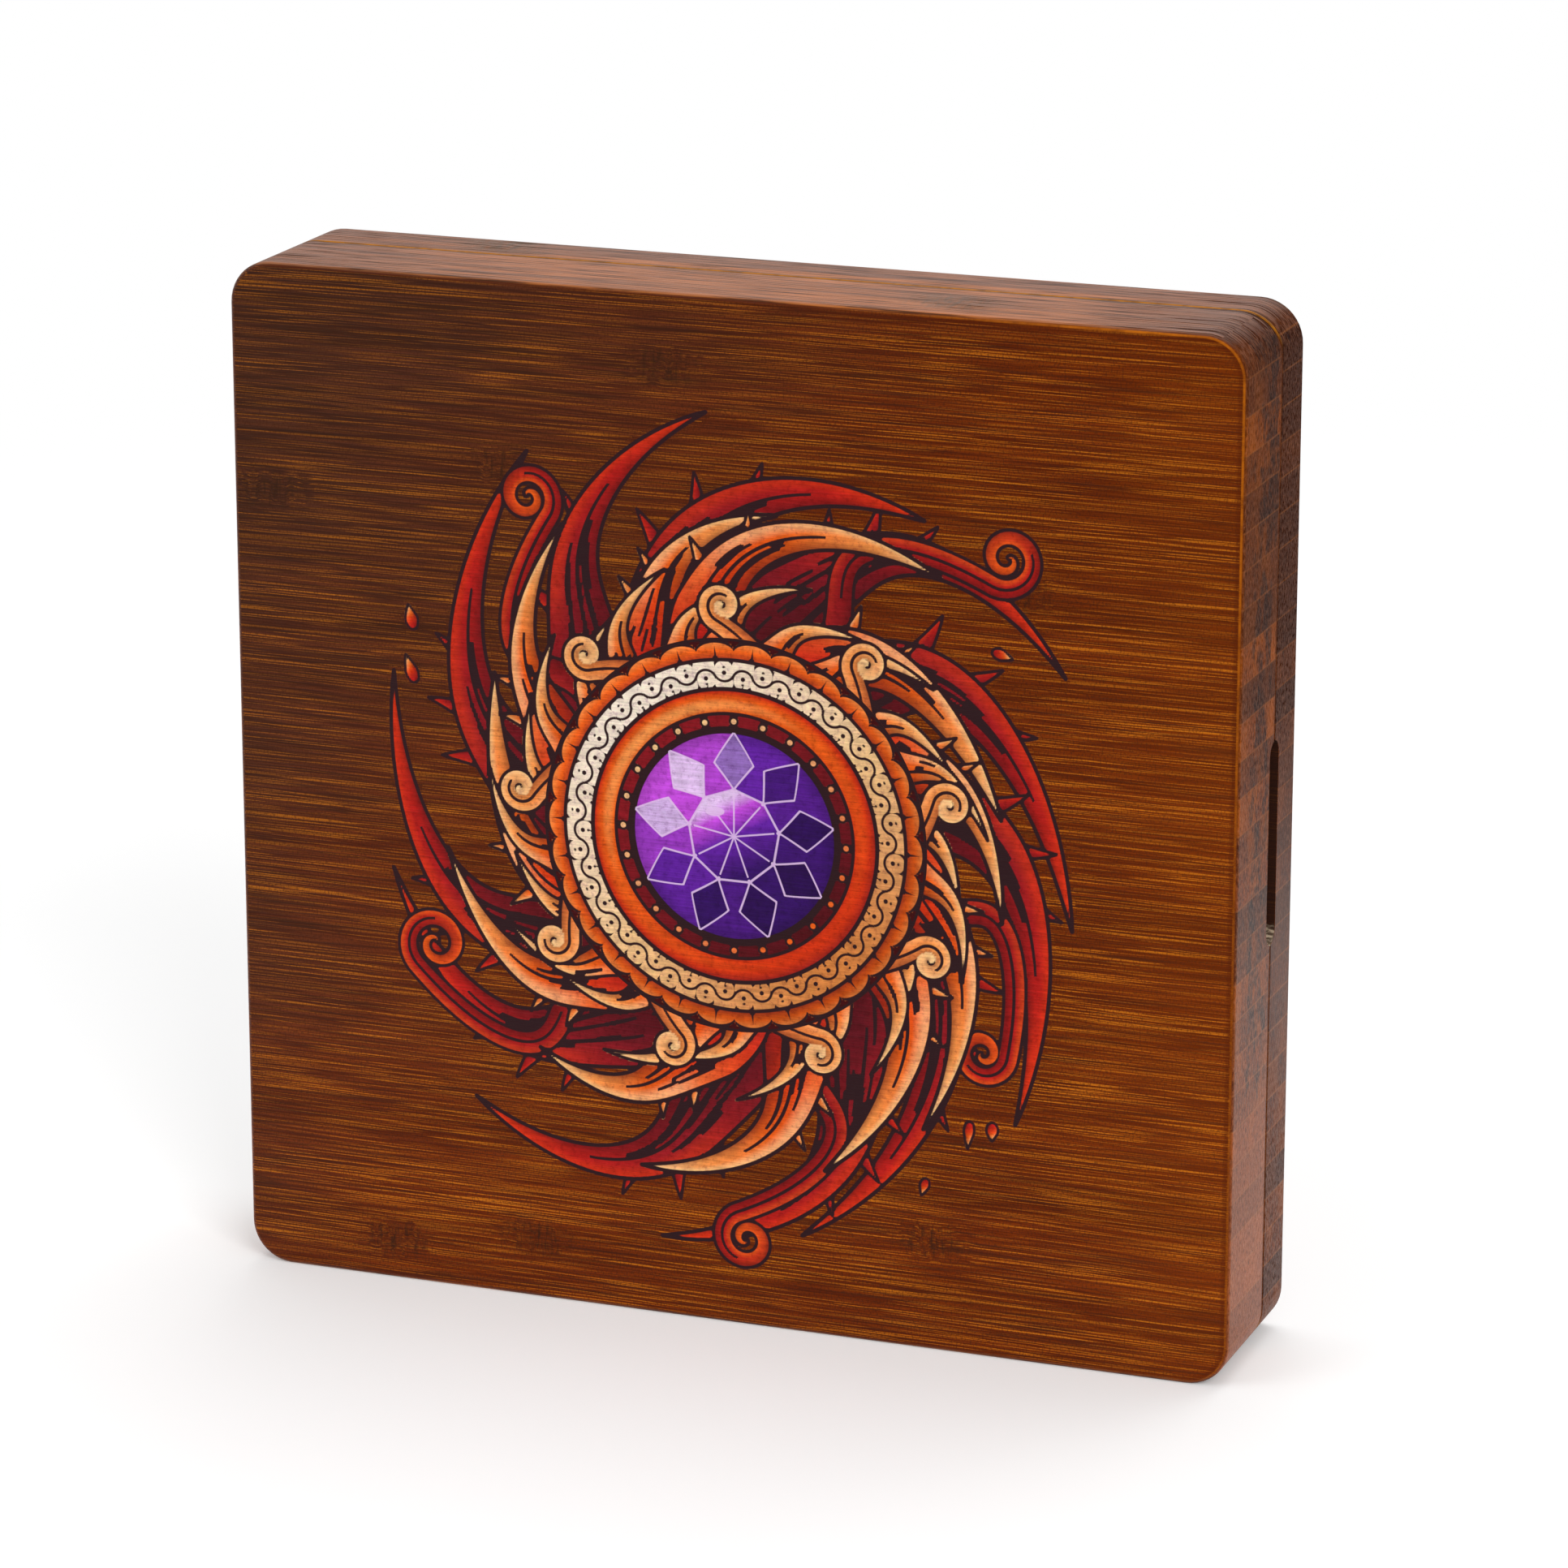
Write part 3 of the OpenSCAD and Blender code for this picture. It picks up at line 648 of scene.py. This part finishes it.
def draw_medallion(art):
    """The banded ring and the stone: bands of the radius r, cut into equal cells of the
    angle a, each a signed distance from its own outline. The light is at the upper left."""
    u, v = art.at.T
    r, a = np.hypot(u, v), np.arctan2(u, v)
    turns = a / (2 * np.pi)
    every = np.arange(len(u))
    light = 0.5 + 0.5 * np.cos(a + 0.7)

    # Scalloped rim of small petals over a dark disc
    art.lay(every, r - 41.9, maroon * 0.45, 0.3)
    petals = 30
    cell = turns * petals % 1 - 0.5
    lobe = 39.2 + 2.3 * np.sqrt(clamp(1 - (cell * 2) ** 2 * 0.92))
    rim = ramp((r - 37) / 5, [0, 0.5, 1], [wine, flame, apricot])
    art.lay(every, r - lobe, rim * (0.7 + 0.45 * light)[:, None], 0.34)
    ridge = np.abs(cell) * 2 * np.pi * r / petals - 0.26 * clamp((40.5 - r) / 2)
    art.line = np.where((r > 37) & (r < 40.6), np.minimum(art.line, ridge), art.line)

    # Pale band with a running wave of arcs, and a dot and a short mark in each arc
    band = ramp(light, [0, 0.45, 1], [apricot * 0.72, cream * 0.92, chalk])
    art.lay(every, r - 37.6, band, 0.4)
    waves, band_r, bend = 26, 34.3, 2.33
    arc = turns * waves * 2
    up = np.where(np.floor(arc) % 2 == 0, 1, -1)
    along = (arc % 1 - 0.5) * np.pi * band_r / waves
    wave = np.abs(np.hypot(along, r - band_r + up * (bend - 1.25)) - bend) - 0.28
    dot = np.hypot(along, r - band_r + up * 0.55) - 0.5
    mark = np.hypot(along * 0.8, r - band_r + up * 1.75) - 0.28
    on_band = (r > 31.2) & (r < 37.2)
    art.line = np.where(on_band, np.minimum.reduce([art.line, wave, dot, mark]), art.line)

    # Amber ring, rounded like a bead
    bead = np.sin(np.pi * clamp((r - 24.5) / 7))
    ring = ramp(clamp(bead * (0.35 + 0.65 * light)), [0, 0.35, 0.75, 1],
                [wine * 0.8, rust, flame, apricot])
    art.lay(every, r - 31.4, ring, 0.45)

    # Dark inner ring with small studs, and a thin bright one
    art.lay(every, r - 26.2, ramp(light, [0, 1], [maroon * 0.8, wine]), 0.38)
    studs, stud_r = 24, 24.6
    cell = (turns * studs + 0.5) % 1 - 0.5
    stud = np.hypot(cell * 2 * np.pi * stud_r / studs, r - stud_r) - 0.85
    art.lay(every, stud, ramp(light, [0, 1], [flame, cream]), 0.26)
    art.lay(every, r - 23.2, ramp(light, [0, 1], [apricot, chalk]), 0.3)

    # The cut stone: a nine-sided table, kite facets that reach from the table's corners
    # to the girdle, and the facets between them
    stone_r, table, cuts = 22.3, 9.5, 9
    art.lay(every, r - stone_r, plum, 0.34)
    half = np.pi / cuts
    turn = turns * cuts
    beyond = r * np.cos((turn % 1 - 0.5) * 2 * half) - table
    corner = table / np.cos(half)
    spoke = np.abs((turn + 0.5) % 1 - 0.5) * 2 * half * r
    kite = spoke - 4.4 * clamp(np.minimum((r - corner) / 6.0, (stone_r - r) / 6.2))
    outer = r > corner * 0.93
    facing = 0.5 + 0.5 * np.cos((np.floor(turn) + 0.5) * 2 * half + 0.9)
    kite_facing = 0.5 + 0.5 * np.cos(np.floor(turn + 0.5) * 2 * half + 0.9)
    base = ramp(facing, [0, 0.35, 0.7, 1], [plum, violet * 0.75, violet, orchid])
    kite_ink = ramp(kite_facing, [0, 0.4, 0.75, 1], [plum * 0.6, plum, violet, lilac])
    table_ink = ramp(0.5 + v * 0.055 - u * 0.03, [0, 0.5, 0.8, 1], [plum, violet, orchid, lilac])
    shade = np.where(((kite < 0) & outer)[:, None], kite_ink, base)
    shade = np.where((beyond < 0)[:, None], table_ink, shade)
    shade = shade * (1 - 0.35 * clamp((r - 19) / 3.3))[:, None]
    gem = r < stone_r
    art.ink[gem] = shade[gem]

    # Its pale edges, the far facets' edges seen through the table, and a glint
    edges = np.minimum(np.abs(beyond), np.where(outer, np.abs(kite), art.away)) - 0.22
    inner = np.where(beyond < -0.8, spoke, art.away) - 0.16
    glint = np.hypot((u + 4.2) * 0.45 + (v - 5) * 0.3, (v - 5) - (u + 4.2) * 0.2) - 1.0
    art.pale = np.where(gem, np.minimum.reduce([edges, inner, glint]), art.away)


def film_material():
    """Coloured ink with dark and pale lines over the same bamboo as the face. The ink
    is thin on the wood's dark fibres and a little mottled."""
    g = new_material("printed_bamboo")
    wood, height, _ = bamboo(g, front_strip, front_shift, front_knots, [])
    x, _, z = g.place()

    def stored(key, out=2):
        return g.node("Attribute", out=out, attribute_name=key)

    blotch = g.noise(x * 0.35, 0.0, z * 0.35, 3.0, 0.6)
    dab = g.noise(x * 0.8, 3.0, z * 0.8, 4.0, 0.66)
    tone = g.step(height, 0.5, 1.05, 0.8, 1.16) * g.step(blotch, 0.3, 0.7, 0.86, 1.1)
    ink = g.mix(1.0, stored("ink", 0), g.grey(tone), "MULTIPLY")
    ink = g.mix(g.step(dab, 0.5, 0.66, 0.0, 0.45), ink,
                g.mix(1.0, ink, (0.42, 0.24, 0.46), "MULTIPLY"))
    ink = g.mix(g.step(dab, 0.34, 0.46, 0.22, 0.0), ink,
                g.mix(1.0, ink, (1.25, 1.6, 1.3), "MULTIPLY"))
    color = g.coats(ink,
                    (g.fall(stored("line"), -0.1, 0.1), (0.02, 0.008, 0.0125)),
                    (g.step(stored("pale"), -0.06, 0.1, 0.78, 0.0), (0.83, 0.58, 0.9)),
                    (g.step(stored("bare"), -0.08, 0.1), wood))
    return lacquered(g, color, height, 0.5)


printed_bamboo = film_material()


def add_mesh(name, verts, faces, material):
    """A new object of the scene with that mesh, in metres, and that material."""
    mesh = bpy.data.meshes.new(name)
    mesh.from_pydata(verts, [], faces)
    mesh.materials.append(material)
    return add_object(name, mesh)


def film(name, art, rise, faces):
    """A printed film. Its points lie at the drawing's (u, v), each at its own rise in
    front of the face, and keep the drawing's values."""
    verts = np.c_[print_x + art.at[:, 0], front_y - rise, print_z + art.at[:, 1]]
    made = add_mesh(name, verts * MM, faces, printed_bamboo)
    stored = made.data.attributes
    rgba = np.ones((len(verts), 4), np.float32)
    rgba[:, :3] = art.ink
    stored.new("ink", "FLOAT_COLOR", "POINT").data.foreach_set("color", rgba.ravel())
    for key in ("line", "bare", "pale"):
        values = getattr(art, key).astype(np.float32)
        stored.new(key, "FLOAT", "POINT").data.foreach_set("value", values)
    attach(made, "front_half")


def closed_faces(tip, loops, last_tip, count):
    """The faces of a closed surface: a fan from the first tip, quads from loop to loop,
    and a fan to the last tip. A loop is count points in a row, named by its first."""
    here, after = np.arange(count), (np.arange(count) + 1) % count
    near, far = loops[:-1, None], loops[1:, None]
    quads = np.stack([near + here, near + after, far + after, far + here], axis=2)
    first = np.c_[loops[0] + after, loops[0] + here, np.full(count, tip)]
    last = np.c_[loops[-1] + here, loops[-1] + after, np.full(count, last_tip)]
    return first.tolist() + quads.reshape(-1, 4).tolist() + last.tolist()


# The flames: the cells of a square grid that ink touches, as a left and a right film,
# each with a back just behind its front and walls along its border
pitch = 0.4
hidden_r = 36.5  # within this the medallion covers the flames
columns, rows = np.arange(-84, 84, pitch), np.arange(-98, 98, pitch)
grid_u, grid_v = [axis.ravel() for axis in np.meshgrid(columns, rows)]
flames = Drawing(grid_u, grid_v)
draw_flames(flames)
wide = len(columns)
corner = (np.arange(len(rows) - 1)[:, None] * wide + np.arange(wide - 1)).ravel()
cells = np.c_[corner, corner + 1, corner + wide + 1, corner + wide]
touched = (flames.bare[cells] < 0.5).any(1)
touched &= (np.hypot(grid_u, grid_v)[cells] > hidden_r).all(1)
left = grid_u[cells].mean(1) < 0
for name, kept in (("left_flame_print", touched & left), ("right_flame_print", touched & ~left)):
    used, squares = np.unique(cells[kept], return_inverse=True)
    squares, count = squares.reshape(-1, 4), len(used)
    both = np.tile(used, 2)
    part = Drawing(grid_u[both], grid_v[both])
    part.ink, part.line, part.bare = flames.ink[both], flames.line[both], flames.bare[both]
    edges = np.concatenate([squares[:, [i, (i + 1) % 4]] for i in range(4)])
    _, first, times = np.unique(np.sort(edges, axis=1), axis=0, return_index=True,
                                return_counts=True)
    rim = edges[first[times == 1]]
    walls = np.c_[rim[:, ::-1], rim + count]
    film(name, part, np.repeat([0.03, 0.006], count),
         np.concatenate([squares, squares[:, ::-1] + count, walls]))

# The medallion: rings of points round the middle, with a flat back
rings, spokes = 150, 600
angle = np.arange(spokes) * 2 * np.pi / spokes
circle = np.c_[np.sin(angle), np.cos(angle)]
discs = (np.linspace(0, 42.2, rings + 1)[1:, None, None] * circle).reshape(-1, 2)
middle = np.zeros((1, 2))
medal = Drawing(*np.concatenate([middle, discs, discs[-spokes:], middle]).T)
draw_medallion(medal)
back = 1 + rings * spokes
film("medallion_print", medal, np.repeat([0.06, 0.035], [back, spokes + 1]),
     closed_faces(0, 1 + np.arange(rings + 1) * spokes, back + spokes, spokes))


# ---------------- rack and dividers
# The rack of dice wells and the three dividers are planed from single bamboo strips,
# stained lighter than the halves, and glued into shallow grooves of the front half.


def fitting_bamboo(name, upright=False):
    """Lighter stained bamboo whose fibres run along x, or along z if upright."""
    g = new_material(name)
    x, y, z = g.place()
    ends = g.facing()[2 if upright else 0]
    if upright:
        x, z = z, x
    sway = (g.noise(x * 0.012, y * 0.06, z * 0.06, 1.0) - 0.5) * 1.2
    fine = g.noise(x * 0.055, y * 2.2, (z + sway) * 2.2, 3.0, 0.68)
    gold = g.noise(x * 0.06, y * 3.0, (z + sway) * 3.0 + 20.0)
    pores = g.noise(x * 0.5, y * 4.0, z * 4.0, 2.0, 0.6)
    grit = g.noise(0.0, y * 2.1, z * 2.1, 3.0, 0.7)
    end = g.step(ends, 0.5, 0.85)
    color = g.coats(
        g.mix(g.step(fine, 0.38, 0.64), (0.082, 0.023, 0.0065), (0.178, 0.056, 0.015)),
        (g.step(gold, 0.56, 0.65) * 0.75, (0.4, 0.15, 0.035)),
        (g.step(pores, 0.6, 0.72, 0.0, 0.4), (0.04, 0.013, 0.005)),
        (end, g.mix(g.step(grit, 0.38, 0.62), (0.05, 0.015, 0.006), (0.14, 0.042, 0.012))))
    height = g.mix(end, g.grey(fine), g.grey(grit))
    return g.surface(color, 0.4 + fine * 0.14, height, 0.12, {"Specular IOR Level": 0.4})


def give(node, material):
    """Puts the material on a CAD piece that shows as it is."""
    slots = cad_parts[node].data.materials
    slots.clear()
    slots.append(material)


level_bamboo = fitting_bamboo("level_fitting_bamboo")
for node in ("dice_rack", "long_divider", "short_divider"):
    give(node, level_bamboo)
give("tall_divider", fitting_bamboo("upright_fitting_bamboo", True))


# ---------------- felt linings
# Sheets of dense short-pile felt, cut to each bay, well and tray floor and glued down.
# Their cut edges are soft, and their faces are a little uneven.

felt_t, felt_gap = 1.5, 0.3  # thickness, and clearance all round
recess_half, recess_r = 96.0, 6.0  # the milled recess, from the middle to a wall
front_floor, back_floor = -14.4, 14.8  # where the floors of the two recesses lie


def felt_material():
    """Matted fibres, with level and upright hairs on top and paler worn patches."""
    g = new_material("plum_felt")
    x, y, z = g.place()
    tangle = g.noise(x * 0.9, y * 0.9, z * 0.9, 4.0, 0.62, 1.6)
    level_hair = g.noise(x * 0.8, y * 4.0, z * 5.0, 2.0, 0.6, 1.2)
    upright_hair = g.noise(x * 5.0, y * 4.0, z * 0.8, 2.0, 0.6, 1.2)
    worn = g.noise(x * 0.03, y * 0.03, z * 0.03, 3.0, 0.55)
    hair = g.high(level_hair, upright_hair)
    color = g.coats(
        g.mix(g.step(tangle, 0.34, 0.66), (0.026, 0.0055, 0.044), (0.058, 0.015, 0.094)),
        (g.step(hair, 0.58, 0.74, 0.0, 0.55), (0.12, 0.042, 0.175)),
        (g.step(worn, 0.4, 0.7, 0.0, 0.3), (0.07, 0.024, 0.1)))
    return g.surface(color, 0.96, tangle * 0.7 + hair * 0.5, 0.35,
                     {"Sheen Weight": 0.35, "Sheen Roughness": 0.45,
                      "Sheen Tint": (0.75, 0.55, 0.85, 1.0), "Specular IOR Level": 0.15})


plum_felt = felt_material()


def cut_outline(left, right, bottom, top, radii, step=2.4):
    """Points round a rectangle, anticlockwise from its lower right corner: each corner
    is a quarter circle of its own radius, and the sides are cut into even steps."""
    points = []
    corners = [(right, bottom, -1, 1), (right, top, -1, -1), (left, top, 1, -1),
               (left, bottom, 1, 1)]
    for i, ((px, pz, sx, sz), r) in enumerate(zip(corners, radii)):
        turn = np.linspace(-np.pi / 2, 0, max(4, int(r * 2)) + 1) + i * np.pi / 2
        points.append(np.c_[px + sx * r + r * np.cos(turn), pz + sz * r + r * np.sin(turn)])
    loop = np.concatenate(points + [points[0][:1]])
    far = np.concatenate([[0], np.cumsum(np.hypot(*np.diff(loop, axis=0).T))])
    cuts = np.concatenate([np.linspace(a, b, max(1, int(np.ceil((b - a) / step))), endpoint=False)
                           for a, b in zip(far[:-1], far[1:])])
    return np.c_[np.interp(cuts, far, loop[:, 0]), np.interp(cuts, far, loop[:, 1])]


def felt_sheet(name, outline, floor_y, up, body, node, seed):
    """A cut sheet of felt. Its face is the outline drawn in towards the middle, ring by
    ring, at the felt's thickness above the floor. The face rounds over at the cut edge
    by a square law, and three long waves make it uneven by a tenth of a millimetre."""
    rng = np.random.default_rng(seed)
    edge_deep, edge_wide, wave_high, glue = 0.55, 1.4, 0.12, 0.02
    middle = (outline.min(0) + outline.max(0)) / 2
    reach = (outline.max(0) - outline.min(0)).min() / 2
    inset = np.r_[0.0, 0.12, 0.35, 0.75, edge_wide, np.arange(3.0, reach - 1.0, 2.6)]
    face = middle + (outline - middle) * (1 - inset / reach)[:, None, None]
    wave = sum(np.sin(face @ rng.normal(0, 0.07, 2) + rng.random() * 6.3) for _ in range(3)) / 3
    height = (felt_t - wave_high - glue - edge_deep * clamp(1 - inset / edge_wide)[:, None] ** 2
              + wave_high * wave * clamp(inset / 4)[:, None])
    count, top = len(outline), face[..., 0].size
    plan = np.concatenate([face.reshape(-1, 2), [middle], outline, [middle]])
    rise = np.r_[height.ravel(), height[-1].mean(), np.full(count + 1, glue)]
    verts = np.c_[plan[:, 0], floor_y + up * rise, half_tall + plan[:, 1]] * MM
    loops = np.r_[top + 1, np.arange(0, top, count)]
    faces = closed_faces(top + 1 + count, loops, top, count)
    if up > 0:
        faces = [corners[::-1] for corners in faces]
    made = add_mesh(name, verts, faces, plum_felt)
    made.data.polygons.foreach_set("use_smooth", np.ones(len(faces), bool))
    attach(made, body)
    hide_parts(node)


def bay_felt(name, node, left, right, bottom, top, rounded, seed,
             floor_y=front_floor, up=1, body="front_half"):
    """The felt of a four-sided bay, from the bay's own edges. Corners that lie in the
    recess's corners are rounded like them, and the others are cut square."""
    gap = felt_gap
    radii = [recess_r - gap if corner else 0.5 for corner in rounded]
    outline = cut_outline(left + gap, right - gap, bottom + gap, top - gap, radii)
    wide, tall = (right - left - 2 * gap) * MM, (top - bottom - 2 * gap) * MM
    area = wide * tall - sum((1 - np.pi / 4) * (r * MM) ** 2 for r in radii)
    felt_sheet(name, outline, floor_y, up, body, node, seed)


# The bays' edges from the middle. The flags say which corners are rounded: lower right,
# upper right, upper left, lower left.
end = recess_half
divider = 2  # half of a divider's thickness
trough_bottom, trough_top, bays_top = 41.04, 62.04, 37.04
card_bottom, token_top = -30.96, -34.96
bay_felt("pencil_trough_cloth", "pencil_trough_felt", -end, end, trough_bottom, trough_top,
         (0, 0, 0, 0), 1)
bay_felt("card_bay_cloth", "card_bay_felt", -end, -divider, card_bottom, bays_top,
         (0, 0, 0, 0), 2)
bay_felt("token_bay_cloth", "token_bay_felt", -end, -divider, -end, token_top,
         (0, 0, 0, 1), 3)
bay_felt("large_bay_cloth", "large_bay_felt", divider, end, -end, bays_top, (1, 0, 0, 0), 4)
bay_felt("tray_cloth", "tray_felt", -end, end, -end, end, (1, 1, 1, 1), 5,
         back_floor, -1, "back_half")

# The wells' felts: hexagons that point up and down, each side cut into six steps
well_across, well_pitch, well_v = 23, 26.2, 79.02
well_r = well_across / math.sqrt(3) - felt_gap / math.cos(math.pi / 6)
turn = np.arange(6) * np.pi / 3 + np.pi / 6
tips = np.c_[np.cos(turn), np.sin(turn)] * well_r
steps = np.arange(6)[None, :, None] / 6
hexagon = (tips[:, None] + (np.roll(tips, -1, axis=0) - tips)[:, None] * steps).reshape(-1, 2)
for i in range(7):
    felt_sheet(f"dice_well_cloth_{i + 1}", hexagon + [(i - 3) * well_pitch, well_v],
               front_floor, 1, "front_half", "dice_well_felts",
               10 + i)


# ---------------- hinges and screws
# Two brass butt hinges join the halves on the left side. Each leaf lies in a shallow
# seat and is held by three countersunk brass screws, and a brass pin joins the knuckles.


def brass(name, bright):
    """Brushed brass, lacquered, a little browner in soft patches."""
    g = new_material(name)
    x, y, z = g.place()
    brushed = g.noise(x * 9.0, y * 9.0, z * 0.35, 3.0, 0.6)
    patch = g.noise(x * 0.2, y * 0.2, z * 0.11, 4.0, 0.6)
    clean, brown = [tuple(c * bright for c in paint)
                    for paint in ((0.66, 0.44, 0.165), (0.45, 0.27, 0.085))]
    rough = g.step(brushed, 0.3, 0.7, 0.26, 0.38) + g.step(patch, 0.45, 0.7, 0.0, 0.1)
    return g.surface(g.mix(g.step(patch, 0.4, 0.68), clean, brown), rough, brushed, 0.03,
                     {"Metallic": 1.0})


hinge_brass, screw_brass = brass("hinge_brass", 1.0), brass("screw_brass", 0.82)
for side in ("upper", "lower"):
    for half in ("front", "back"):
        smooth_copy(f"{side}_hinge_{half}_leaf", f"{side}_{half}_leaf_brass", f"{half}_half",
                    hinge_brass)
        smooth_copy(f"{side}_{half}_screws", f"{side}_{half}_screws_brass", f"{half}_half",
                    screw_brass)
    smooth_copy(f"{side}_hinge_pin", f"{side}_pin_brass", "back_half", screw_brass)


# ---------------- magnets
# Four nickel-plated discs, glued flush into the rims near the finger slot's side, pull
# each other to keep the box shut.

magnet_x = 103.0


def nickel(name, magnet_z):
    """Satin nickel plate with the faint rings of a turned face."""
    g = new_material(name)
    x, y, z = g.place()
    out = g.math("SQRT", (x - magnet_x) ** 2.0 + (z - magnet_z) ** 2.0)
    ring = g.noise(out * 5.0, 0.0, 0.0, 2.0, 0.6)
    smear = g.noise(x * 0.5, y * 0.5, z * 0.5, 3.0, 0.6)
    color = g.mix(g.step(smear, 0.35, 0.7), (0.62, 0.61, 0.59), (0.5, 0.48, 0.45))
    return g.surface(color, g.step(smear, 0.3, 0.7, 0.22, 0.36), ring, 0.02, {"Metallic": 1.0})


for side, magnet_z in (("upper", 192.0), ("lower", 28.0)):
    plate = nickel(f"{side}_nickel", magnet_z)
    for half in ("front", "back"):
        smooth_copy(f"{side}_{half}_magnet", f"{side}_{half}_disc", f"{half}_half",
                    plate)


# ---------------- room
# A plain pale floor under the box, a white surround and soft lamps. A tall dark card
# stands out of sight behind and to the right, and only the gloss of the box mirrors it.

scene.view_settings.view_transform = "Standard"
surround_up, surround_down = 0.5, 0.12  # how bright it is above and below the horizon


def seen_ray(g):
    """1 for a ray that shows the background: straight, mirrored or through glass."""
    straight, mirrored, glass = [g.node("LightPath", out=f"Is {kind} Ray")
                                 for kind in ("Camera", "Glossy", "Transmission")]
    return g.high(g.high(straight, mirrored), glass)


# The surround: white where it is seen, and grey lower down for what it lights
scene.world = bpy.data.worlds.new("surround")
g = Wiring(scene.world)
level = g.step(g.split("Generated")[2], -0.12, 0.1, surround_down, surround_up)
level = g.node("Mix", {0: seen_ray(g), 2: level, 3: 1.0})
g.finish(g.node("Background", {"Color": (1.0, 1.0, 1.0, 1.0), "Strength": level}), "World")


def stage_sheet(name, corner, along, up, material):
    """A flat sheet of the set: a corner and its two sides from there, in metres."""
    corner, along, up = np.array([corner, along, up], float)
    made = add_mesh(name, [corner, corner + along, corner + along + up, corner + up],
                    [(0, 1, 2, 3)], material)
    return made


def mix_shaders(g, factor, a, b):
    return g.node("MixShader", {0: factor, 1: a, 2: b})


# The paper: it lights the box by its own colour, which is dark far away, and is seen a
# little brighter near the box and plain white beyond
g = new_material("floor_paper")
x, y, _ = g.place()
far = g.math("SQRT", x * x + y * y)
paper = g.node("BsdfDiffuse", {"Color": g.grey(g.step(far, 180.0, 620.0, 0.9, 0.06))})
near_paper = g.node("AddShader",
                    {0: g.node("BsdfDiffuse", {"Color": (0.9, 0.9, 0.9, 1.0)}),
                     1: g.node("Emission", {"Strength": 0.16})})
far_paper = g.node("Emission", {"Strength": 1.0})
shown = mix_shaders(g, g.step(far, 380.0, 900.0), near_paper, far_paper)
stage_sheet("floor", (-5, -5, 0), (10, 0, 0), (0, 10, 0),
            g.finish(mix_shaders(g, seen_ray(g), paper, shown)))

# The card: only mirrored rays meet it, and it fades out towards its foot
g = new_material("dark_card_felt")
black = g.node("Emission", {"Color": (0.05, 0.045, 0.05, 1.0), "Strength": 1.0})
clear = g.node("BsdfTransparent")
card_felt = g.finish(mix_shaders(g, g.step(g.place()[2], -60.0, 80.0), clear, black))
card = stage_sheet("dark_card", (0.13, 0.3, 0), (1.47, 0, 0), (0, 0, 1.2), card_felt)
for kind in ("camera", "diffuse", "shadow", "transmission"):
    setattr(card, "visible_" + kind, False)

# The lamps: square and soft, each with a place, a width and a power in watts
for name, place, width, power in (("key_lamp", (1.6, -1.9, 1.6), 1.2, 36),
                                  ("fill_lamp", (-1.6, -1.6, 1.2), 1.4, 13),
                                  ("top_lamp", (0.1, 0.8, 2.2), 1.6, 19)):
    lamp = bpy.data.lights.new(name, "AREA")
    lamp.size, lamp.energy = width, power
    look(add_object(name, lamp), place, (0, 0, half_tall * MM))
